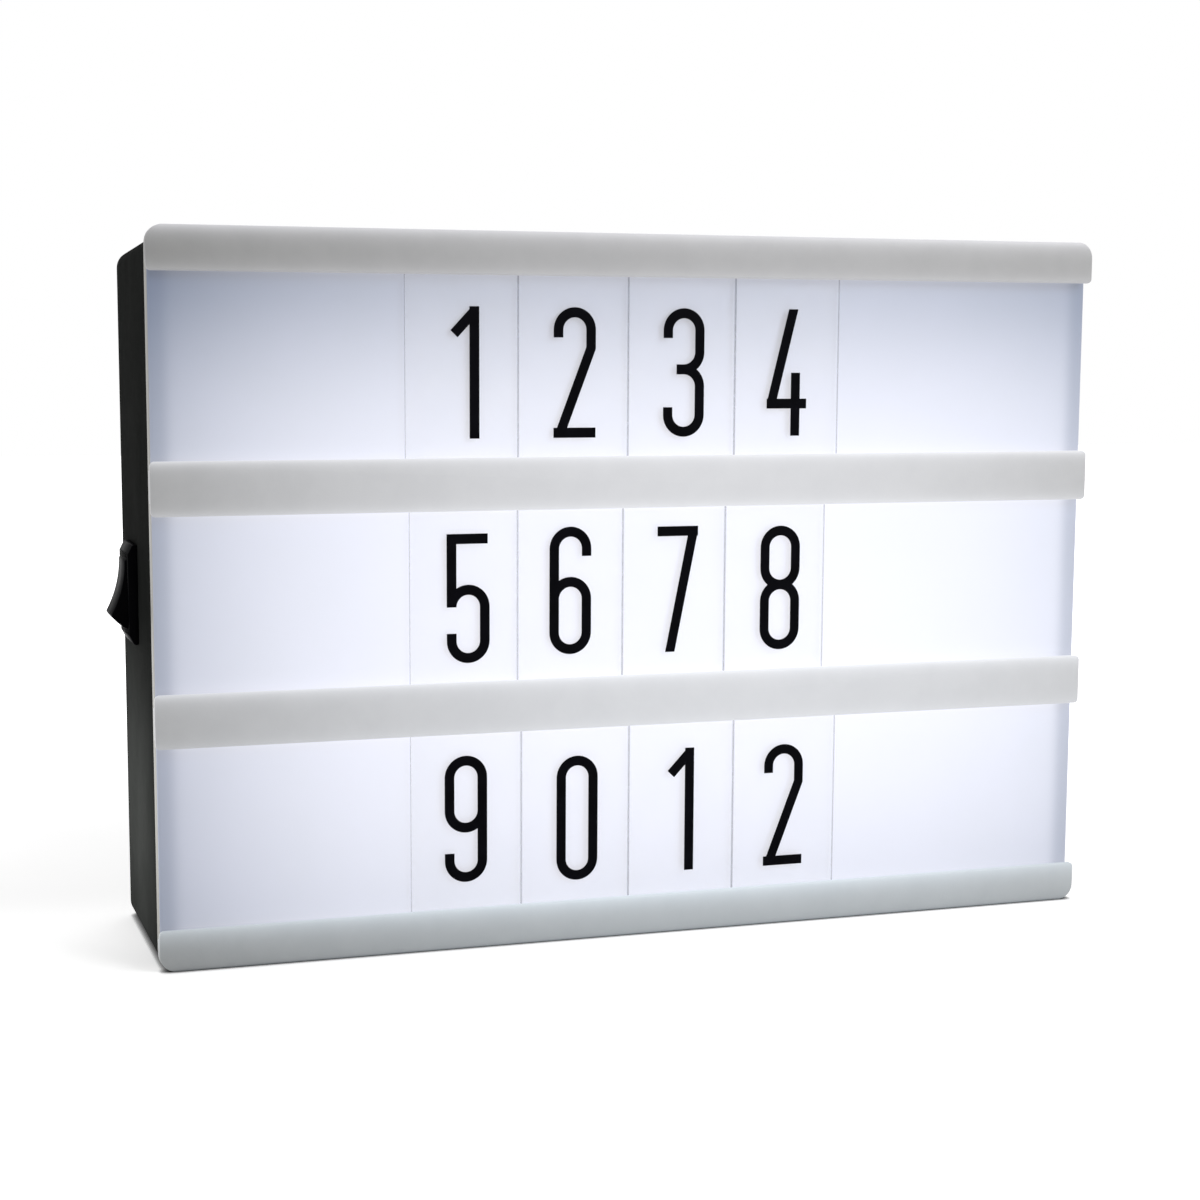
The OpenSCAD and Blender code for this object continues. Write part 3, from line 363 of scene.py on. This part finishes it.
def cellJacket(name, plusSide):  # shrunk foil sleeve: dark, a plain copper band at the plus end
    material = newMaterial(name, IOR=1.5)
    place = addNode(material, "TexCoord").outputs["Object"]
    along = addNode(material, "SeparateXYZ", place).outputs["X"]
    along = addNode(material, "Math MULTIPLY_ADD", along, perMetre * plusSide,
                    -cellFacts["middle"])
    bandFrom = cellFacts["half"] - cellFacts["band"]
    isBand = addNode(material, "Math GREATER_THAN", along, bandFrom)
    away = addNode(material, "Math ABSOLUTE", along)
    isSteel = addNode(material, "Math GREATER_THAN", away, cellFacts["half"])
    scuffs = patches(material, cellFacts["scuff"], 4.0)
    colour = tones(material, scuffs, *cellFacts["sleeve"])
    for where, cover in ((isBand, "copper"), (isSteel, "steel")):
        over = tones(material, scuffs, *cellFacts[cover])
        mix = addNode(material, "Mix", where, settings=colourMix, inputs={6: colour, 7: over})
        colour = mix.outputs[2]
    metal = addNode(material, "Math MULTIPLY", isBand, cellFacts["bandMetal"])
    metal = addNode(material, "Math MAXIMUM", isSteel, metal)
    setShader(material, Base_Color=colour, Metallic=metal)
    giveGrain(material, scuffs, cellFacts["rough"])
    return material


cellPlusLeft = cellJacket("foil sleeve, plus end left", -1)
cellPlusRight = cellJacket("foil sleeve, plus end right", 1)
print("finishes made:", len(bpy.data.materials))


# the CAD nodes and what they wear


def wear(piece, *materials):
    piece.data.materials.clear()
    for material in materials:
        piece.data.materials.append(material)


nodeFinish = {
    "rear_case": caseAbs, "battery_door": caseAbs, "front_shell": opalShell,
    "switch_housing": switchNylon, "switch_rocker": switchNylon,
    "switch_plunger": stampedBrass, "plunger_spring": platedSteel, "contact_lever": stampedCopper,
    "pivot_terminal": stampedBrass, "contact_terminal": stampedBrass,
    "cell_lower": cellPlusLeft, "cell_middle": cellPlusRight, "cell_upper": cellPlusLeft,
    "contact_plates_left": platedSteel, "contact_plates_right": platedSteel,
    "contact_springs": platedSteel, "reflector_sheet": reflectorCard,
    "light_board_upper": boardLacquer, "light_board_lower": boardLacquer,
    "lamps_upper": lampResin, "lamps_lower": lampResin, "resistors": chipEpoxy,
    "power_inlet": inletPbt, "inlet_pin": stampedBrass, "case_screws": zincSteel,
    "wire_cells_to_switch": wireRed, "wire_switch_to_board": wireRed,
    "wire_board_link_left": wireRed, "wire_board_link_right": wireBlack,
    "wire_cells_to_board": wireBlack, "wire_inlet_plus": wireRed, "wire_inlet_minus": wireBlack,
    **{f"rail_{railName}": railAbs[railName] for railName in railFacts},
    **{f"tile_{row}_{place}": tileFilm for row in rows for place in tilePlaces},
}
for nodeName, material in nodeFinish.items():
    wear(nodes[nodeName], material)
print("nodes dressed:", len(nodeFinish))


# finer pieces that stand in for CAD nodes


def startOn(piece):  # only this object is selected and active
    bpy.ops.object.select_all(action="DESELECT")
    piece.select_set(True)
    bpy.context.view_layer.objects.active = piece


def applyAll(piece):
    startOn(piece)
    for modifier in list(piece.modifiers):
        bpy.ops.object.modifier_apply(modifier=modifier.name)


record = frame["record"]
bodies = record["behaviour"]["bodies"]
bodyOf = {node: body for body, members in bodies.items() for node in members}
easeFacts = {
    "merge": 0.002,  # mm, corners nearer than this are one
    "flat": 0.3, "sharp": 35, "smooth": 28,  # degrees: level faces, eased edges, smooth shading
}


def softened(nodeName, pieceName, edge, segments=2):  # the node's copy with its edges eased
    piece = bpy.data.objects.new(pieceName, nodes[nodeName].data.copy())
    bpy.context.collection.objects.link(piece)
    startOn(piece)
    bpy.ops.object.mode_set(mode="EDIT")
    bpy.ops.mesh.select_all(action="SELECT")
    bpy.ops.mesh.remove_doubles(threshold=easeFacts["merge"] * mm)
    bpy.ops.mesh.customdata_custom_splitnormals_clear()
    bpy.ops.mesh.dissolve_limited(angle_limit=math.radians(easeFacts["flat"]))
    bpy.ops.object.mode_set(mode="OBJECT")
    bevel = piece.modifiers.new("eased edges", "BEVEL")
    bevel.width = edge * mm
    bevel.segments = segments
    bevel.limit_method = "ANGLE"
    bevel.angle_limit = math.radians(easeFacts["sharp"])
    bevel.use_clamp_overlap = False
    bevel.harden_normals = False
    applyAll(piece)
    bpy.ops.object.shade_smooth_by_angle(angle=math.radians(easeFacts["smooth"]))
    wear(piece, nodeFinish[nodeName])
    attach(piece, bodyOf[nodeName])
    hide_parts(nodeName)
    return piece


easedEdges = {  # piece name: node, edge width in mm
    "rockerCap": ("switch_rocker", 0.25),
    "switchBezel": ("switch_housing", 0.25),
    "doorPanel": ("battery_door", 0.2),
    "caseTray": ("rear_case", 0.2),
    "inletBody": ("power_inlet", 0.15),
    "shellTray": ("front_shell", 0.12),
    **{f"{railName}Rail": (f"rail_{railName}", 0.12) for railName in railFacts},
}
for pieceName, (nodeName, edge) in easedEdges.items():
    softened(nodeName, pieceName, edge)
print("edges eased:", len(easedEdges))


tileFacts = {"edge": 0.08, "facing": 0.6}  # mm eased; a face that looks forward or back this far


def cutTile(nodeName):  # faces of clear sheet, and the cut edges between them, greyer with painted shade
    tile = softened(nodeName, nodeName.replace("tile", "sheet"), tileFacts["edge"], segments=1)
    wear(tile, tileFilm, tileEdgeShade)
    for face in tile.data.polygons:
        face.material_index = 0 if abs(face.normal.y) > tileFacts["facing"] else 1


for row in rows:
    for place in tilePlaces:
        cutTile(f"tile_{row}_{place}")
print("tiles cut:", len(rows) * len(tilePlaces))

# printed digits

digitFacts = {
    "height": 27.0, "width": 9.3, "oneWidth": 5.6, "stroke": 2.1,  # mm, as on the photo's tiles
    "proud": 0.04, "sunk": 0.02,  # mm that the ink stands out of a tile's face and reaches in
    "tileDepth": 1.35,  # mm from the rails' front faces back to a tile's face
    "arcSteps": 12,  # for a quarter turn
    "drop": 1.6, "waist": 14.2, "bowl": 16.4,  # mm: end after an arc, middle and bowl's top
    "cutTo": 4,  # decimals of a millimetre
    "merge": 1e-4, "flat": 0.5,  # mm and degrees
}
slants = {  # digit: what its slanted stroke runs between, mm
    1: {"left": 0.2, "under": 5.6, "past": 0.25, "topUnder": 0.75},
    2: {"bend": 18.6, "footIn": 0.35, "footShare": 0.4},
    4: {"stemIn": 2.6, "stemTop": 13.5, "bar": 6.9, "top": 6.2, "above": 0.6},
    7: {"topShare": 0.45, "foot": 2.9, "below": 0.6},
}
shortBars = {3: 3.0, 5: 0.4}  # mm: where the middle bar of a 3 starts, what a 5's top bar lacks
digitPlaces = {  # row: (digit, middle x, lowest z) in mm
    "top": ((1, -40.1, 107.2), (2, -16.5, 107.2), (3, 8.0, 107.2), (4, 31.9, 107.2)),
    "middle": ((5, -39.8, 60.6), (6, -17.3, 61.6), (7, 7.0, 61.2), (8, 31.0, 60.8)),
    "bottom": ((9, -40.4, 14.0), (0, -15.6, 12.7), (1, 8.5, 13.1), (2, 32.6, 12.7)),
}


def digitStrokes(digit):  # bars (x0, z0, x1, z1) and arcs (x, z, first degree, last degree)
    h, w, s = digitFacts["height"], digitFacts["width"], digitFacts["stroke"]
    left, right, middle = s / 2, w - s / 2, w / 2
    top, base, arcRadius = h - middle, middle, middle - s / 2
    bowl, drop = digitFacts["bowl"] - middle, digitFacts["drop"]
    above, below = digitFacts["waist"] + arcRadius, digitFacts["waist"] - arcRadius
    slant = slants.get(digit)
    topArc, baseArc = ("arc", middle, top, 0, 180), ("arc", middle, base, 180, 360)
    if digit == 0:
        return [topArc, baseArc, ("bar", left, base, left, top), ("bar", right, base, right, top)]
    if digit == 1:
        stem = digitFacts["oneWidth"] - s / 2
        flag = (slant["left"], h - slant["under"], stem + slant["past"], h - slant["topUnder"])
        return [("bar", stem, 0, stem, h), ("bar", *flag)]
    if digit == 2:
        bend = slant["bend"]
        return [topArc, ("bar", left, top, left, top - drop), ("bar", right, top, right, bend),
                ("bar", right, bend, left + slant["footIn"], s * slant["footShare"]),
                ("dot", right, bend), ("bar", 0, s / 2, w, s / 2)]
    if digit == 3:
        return [topArc, baseArc,
                ("bar", left, top, left, top - drop), ("bar", left, base, left, base + drop),
                ("bar", right, top, right, above), ("bar", right, base, right, below),
                ("arc", middle, above, 270, 360), ("arc", middle, below, 0, 90),
                ("bar", shortBars[3], digitFacts["waist"], middle, digitFacts["waist"])]
    if digit == 4:
        stem, bar = w - slant["stemIn"], slant["bar"]
        return [("bar", stem, 0, stem, slant["stemTop"]), ("bar", 0, bar, w, bar),
                ("bar", slant["top"], h + slant["above"], left, bar)]
    if digit == 5:
        return [("bar", 0, h - s / 2, w - shortBars[5], h - s / 2), ("bar", left, bowl, left, h),
                ("arc", middle, bowl, 0, 180), ("bar", right, base, right, bowl), baseArc,
                ("bar", left, base, left, base + drop)]
    if digit == 6:
        return [topArc, ("bar", right, top, right, top - drop), ("bar", left, base, left, top),
                baseArc, ("bar", right, base, right, bowl), ("arc", middle, bowl, 0, 180)]
    if digit == 7:
        return [("bar", 0, h - s / 2, w, h - s / 2),
                ("bar", right, h - s * slant["topShare"], slant["foot"], -slant["below"])]
    if digit == 8:
        spans = ((top, above), (base, below))
        sides = [("bar", x, a, x, b) for x in (left, right) for a, b in spans]
        return [topArc, baseArc, ("arc", middle, above, 180, 360), ("arc", middle, below, 0, 180),
                *sides]
    turned = []  # 9 is a 6 turned round
    for kind, *v in digitStrokes(6):
        end = (v[2] + 180, v[3] + 180) if kind == "arc" else (w - v[2], h - v[3])
        turned.append((kind, w - v[0], h - v[1], *end))
    return turned


def inkStrip(kind, *v):  # one stroke as a closed slab, 1 mm thick, flat in X and Z
    s = digitFacts["stroke"]
    radius = (digitFacts["width"] - s) / 2
    if kind == "dot":
        bpy.ops.mesh.primitive_cylinder_add(
            vertices=4 * digitFacts["arcSteps"], radius=s / 2, depth=1,
            location=(v[0], 0, v[1]), rotation=(math.pi / 2, 0, 0))
    elif kind == "bar":
        run = Vector((v[2] - v[0], 0, v[3] - v[1]))
        bpy.ops.mesh.primitive_cube_add(
            size=1, location=((v[0] + v[2]) / 2, 0, (v[1] + v[3]) / 2),
            rotation=(0, -math.atan2(run.z, run.x), 0), scale=(run.length, 1, s))
    else:  # a square across the stroke, spun to an arc
        first, turn = math.radians(v[2]), math.radians(v[3] - v[2])
        bpy.ops.mesh.primitive_plane_add(size=1, rotation=(0, -first, 0), location=(
            v[0] + radius * math.cos(first), 0, v[1] + radius * math.sin(first)))
        bpy.context.object.scale = (s, 1, 1)
    strip = bpy.context.object
    bpy.ops.object.transform_apply(location=True, rotation=True, scale=True)
    bpy.ops.object.mode_set(mode="EDIT")
    bpy.ops.mesh.select_all(action="SELECT")
    if kind == "arc":
        steps = round(digitFacts["arcSteps"] * turn / (math.pi / 2))
        bpy.ops.mesh.spin(steps=steps, angle=turn, center=(v[0], 0, v[1]), axis=(0, 1, 0))
        bpy.ops.mesh.select_all(action="SELECT")
        bpy.ops.mesh.normals_make_consistent(inside=False)
    if kind == "bar" and run.x * run.z:  # a slanted stroke that runs past the digit is cut level
        for height, outward in ((0, -1), (digitFacts["height"], 1)):
            bpy.ops.mesh.select_all(action="SELECT")
            bpy.ops.mesh.bisect(plane_co=(0, 0, height), plane_no=(0, 0, outward),
                                use_fill=True, clear_outer=True)
    bpy.ops.object.mode_set(mode="OBJECT")
    for corner in strip.data.vertices:  # corners that meet become equal, so the strokes join well
        corner.co = [round(value, digitFacts["cutTo"]) for value in corner.co]
    return strip


def inkDigit(digit):  # all strokes as one closed solid, in millimetres
    strips = []
    for stroke in digitStrokes(digit):
        bpy.ops.object.select_all(action="DESELECT")
        strips.append(inkStrip(*stroke))
    whole, others = strips[0], strips[1:]
    for other in others:
        union = whole.modifiers.new("join", "BOOLEAN")
        union.operation, union.solver, union.object = "UNION", "EXACT", other
        applyAll(whole)
        bpy.data.objects.remove(other)
    startOn(whole)
    bpy.ops.object.mode_set(mode="EDIT")
    bpy.ops.mesh.select_all(action="SELECT")
    bpy.ops.mesh.remove_doubles(threshold=digitFacts["merge"])
    bpy.ops.mesh.dissolve_limited(angle_limit=math.radians(digitFacts["flat"]))
    bpy.ops.object.mode_set(mode="OBJECT")
    return whole


def placeDigit(master, row, index, digit, x, z):
    piece = bpy.data.objects.new(f"digit_{row}_{index}", master.data.copy())
    bpy.context.collection.objects.link(piece)
    width = digitFacts["oneWidth"] if digit == 1 else digitFacts["width"]
    thick = digitFacts["proud"] + digitFacts["sunk"]
    inward = (digitFacts["sunk"] - digitFacts["proud"]) / 2
    depth = digitFacts["tileDepth"] + inward - frontToMiddle
    place = Matrix.Translation(((x - width / 2) * mm, depth * mm, z * mm))
    piece.data.transform(place @ Matrix.Diagonal((mm, thick * mm, mm, 1)))
    wear(piece, printedInk)
    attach(piece, f"tile_{row}_{index}")


masters = {}
for row, digits in digitPlaces.items():
    for index, (digit, x, z) in enumerate(digits, 1):
        if digit not in masters:
            masters[digit] = inkDigit(digit)
        placeDigit(masters[digit], row, index, digit, x, z)
for master in masters.values():
    bpy.data.objects.remove(master)
print("digits printed:", sum(len(digits) for digits in digitPlaces.values()))

# stage, camera and light

cameraFacts = {
    "place": (-0.17828, -0.48375, 0.12340),  # metres
    "yaw": 0.327194, "pitch": 0.132622, "roll": 0.002079,  # radians
    "focal": 2311.57, "across": 545.47, "down": 667.94, "frameSize": 1200,  # pixels of the photo
    "sensor": 36,  # mm
    "nearest": 0.01, "farthest": 20,  # metres
}


def makeCamera(facts):
    data = bpy.data.cameras.new("camera")
    data.sensor_width = facts["sensor"]
    data.lens = data.sensor_width * facts["focal"] / facts["frameSize"]
    data.shift_x = (facts["frameSize"] / 2 - facts["across"]) / facts["frameSize"]
    data.shift_y = (facts["down"] - facts["frameSize"] / 2) / facts["frameSize"]
    data.clip_start, data.clip_end = facts["nearest"], facts["farthest"]
    y, p, r = facts["yaw"], facts["pitch"], facts["roll"]
    forward = Vector((math.sin(y) * math.cos(p), math.cos(y) * math.cos(p), -math.sin(p)))
    right = Vector((math.cos(y), -math.sin(y), 0))
    down = forward.cross(right)
    turnedRight = right * math.cos(r) - down * math.sin(r)
    turnedDown = right * math.sin(r) + down * math.cos(r)
    axes = Matrix((turnedRight, -turnedDown, -forward)).transposed()
    camera = bpy.data.objects.new("camera", data)
    camera.matrix_world = Matrix.Translation(facts["place"]) @ axes.to_4x4()
    bpy.context.collection.objects.link(camera)
    bpy.context.scene.camera = camera


stageFacts = {
    "floorSize": 5.0, "floorUnder": 0.02,  # metres, and mm below the part
    "liftNear": 0.45, "liftFar": 1.0,  # light of the floor that only the eye sees
    "liftFrom": 0.14, "liftTo": 0.38,  # metres out where it starts and ends to grow
    "ambient": 0.50,
    "contactShadeReach": 0.0016, "contactShadeDepth": 2.2,  # metres, and how dark, the painted contact shadow under the part's edges
    "contactShadeSamples": 12, "paintCloud": 60.0,  # mm
    "key": {
        "place": (0.50, -0.62, 0.60), "aim": (0.03, 0, 0.07), "size": 0.5, "power": 3.2},
    "back": {
        "place": (0.3, 1.0, 0.8), "aim": (0, 0, 0.07), "size": 0.9, "power": 3.5},
    "side": {
        "place": (-0.60, 0.10, 0.05), "aim": (-0.105, 0.008, 0.028), "size": 0.02, "power": 36,
        "angle": 0.155},
}


def addLamp(name, place, aim, size, power, angle=None):  # square, or a soft spot with an angle
    data = bpy.data.lights.new(name, "SPOT" if angle else "AREA")
    data.energy = power
    if angle:
        data.spot_size, data.spot_blend, data.shadow_soft_size = angle, 1.0, size
    else:
        data.shape, data.size = "SQUARE", size
    lamp = bpy.data.objects.new(name, data)
    lamp.location = place
    lamp.rotation_euler = (Vector(aim) - Vector(place)).to_track_quat("-Z", "Y").to_euler()
    lamp.visible_camera = False
    bpy.context.collection.objects.link(lamp)


def seenByEye(owner):  # 1 for camera, glossy and transmission rays
    path = addNode(owner, "LightPath").outputs
    either = addNode(owner, "Math MAXIMUM", path["Is Camera Ray"], path["Is Glossy Ray"])
    return addNode(owner, "Math MAXIMUM", either, path["Is Transmission Ray"])


makeCamera(cameraFacts)
for name in ("key", "back", "side"):
    addLamp(name, **stageFacts[name])

bpy.ops.object.select_all(action="DESELECT")
bpy.ops.mesh.primitive_plane_add(size=stageFacts["floorSize"],
                                 location=(0, 0, -stageFacts["floorUnder"] * mm))
floor = bpy.context.object
floor.name = "floor"

# pale matt paint, rolled: nearly white, with a painted contact shadow where the part stands on it
floorPaint = newMaterial("pale matt paint, rolled", Roughness=0.9, Specular_IOR_Level=0.1,
                         Emission_Color=(1, 1, 1, 1))
rolledCoat = patches(floorPaint, stageFacts["paintCloud"], 3.0)
paint = tones(floorPaint, rolledCoat, "#f4f4f4", "#f8f8f8", "clouds")
nearby = addNode(floorPaint, "AmbientOcclusion", Distance=stageFacts["contactShadeReach"],
                 settings={"samples": stageFacts["contactShadeSamples"]})
openness = nearby.outputs["AO"]  # 1 in the open, less beside the part
# painted contact shadow: near the part, the paint and its eye-only light are darkened
contactShade = addNode(floorPaint, "Math POWER", openness, stageFacts["contactShadeDepth"])
contactShaded = addNode(floorPaint, "VectorMath SCALE", paint, Scale=contactShade)
spot = addNode(floorPaint, "TexCoord").outputs["Object"]
away = addNode(floorPaint, "VectorMath LENGTH", spot).outputs["Value"]
ring = addNode(floorPaint, "MapRange", away, stageFacts["liftFrom"], stageFacts["liftTo"],
               stageFacts["liftNear"], stageFacts["liftFar"],
               settings={"interpolation_type": "SMOOTHSTEP"})
lift = addNode(floorPaint, "Math MULTIPLY", ring, contactShade)
lift = addNode(floorPaint, "Math MULTIPLY", seenByEye(floorPaint), lift)
setShader(floorPaint, Base_Color=contactShaded, Emission_Strength=lift)
wear(floor, floorPaint)

world = bpy.data.worlds.new("studio")
bpy.context.scene.world = world
world.use_nodes = True
background = world.node_tree.nodes["Background"]
level = addNode(world, "MapRange", seenByEye(world), To_Min=stageFacts["ambient"], To_Max=1.0)
feed(world, background.inputs["Color"], (1, 1, 1, 1))
feed(world, background.inputs["Strength"], level)
bpy.context.scene.view_settings.view_transform = "Standard"
print("stage set")
